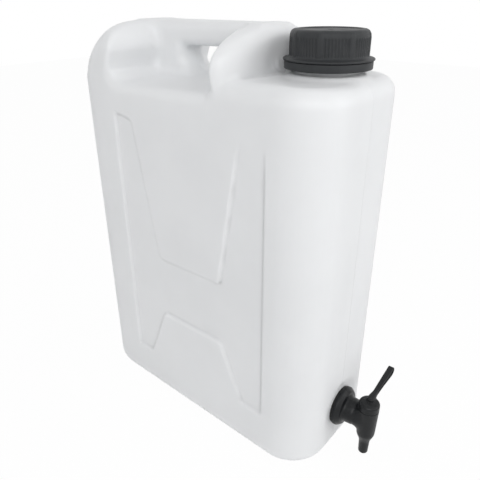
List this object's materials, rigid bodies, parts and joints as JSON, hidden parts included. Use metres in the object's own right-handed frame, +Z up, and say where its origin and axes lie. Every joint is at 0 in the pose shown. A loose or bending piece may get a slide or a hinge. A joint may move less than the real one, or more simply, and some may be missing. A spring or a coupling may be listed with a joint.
{
  "type": "carboy with spigot",
  "caption": "Upright blow-moulded plastic canister with a carrying handle in its top, a ribbed screw cap with tamper band, and a quarter-turn lever tap low on one end.",
  "frame": {"origin": "centre of the canister's base, on the surface that it stands on", "axes": "+Z up, -Y towards the end with the tap, X across the long sides"},
  "size_m": [0.132, 0.3182, 0.384],
  "materials": {
    "natural_hdpe": "milky natural polyethylene with a soft satin sheen",
    "cap_plastic": "dark grey satin moulding",
    "liner_foam": "white foamed sealing disc",
    "tap_plastic": "near black satin moulding",
    "black_rubber": "matt black rubber"
  },
  "bodies": {
    "can": {"canister": "natural_hdpe", "tamper_band": "cap_plastic", "tap_body": "tap_plastic", "tap_gasket": "black_rubber"},
    "liner": {"cap_liner": "liner_foam"},
    "cap": {"screw_cap": "cap_plastic"},
    "plug": {"tap_plug": "tap_plastic"}
  },
  "joints": [
    {"name": "cap_lift", "type": "slide", "parent": "can", "child": "liner", "axis": [0, 0, 1], "range_m": [0, 0.024]},
    {"name": "cap_turn", "type": "hinge", "parent": "liner", "child": "cap", "pos_m": [0, -0.1, 0.37], "axis": [0, 0, 1], "range_deg": [0, 1440]},
    {"name": "tap_lever", "type": "hinge", "parent": "can", "child": "plug", "pos_m": [0, -0.1685, 0.045], "axis": [0, 0, -1], "range_deg": [0, 90]}
  ],
  "couplings": [
    {"joint": "cap_lift", "follows": "cap_turn", "m_per_rad": 0.00095493}
  ]
}
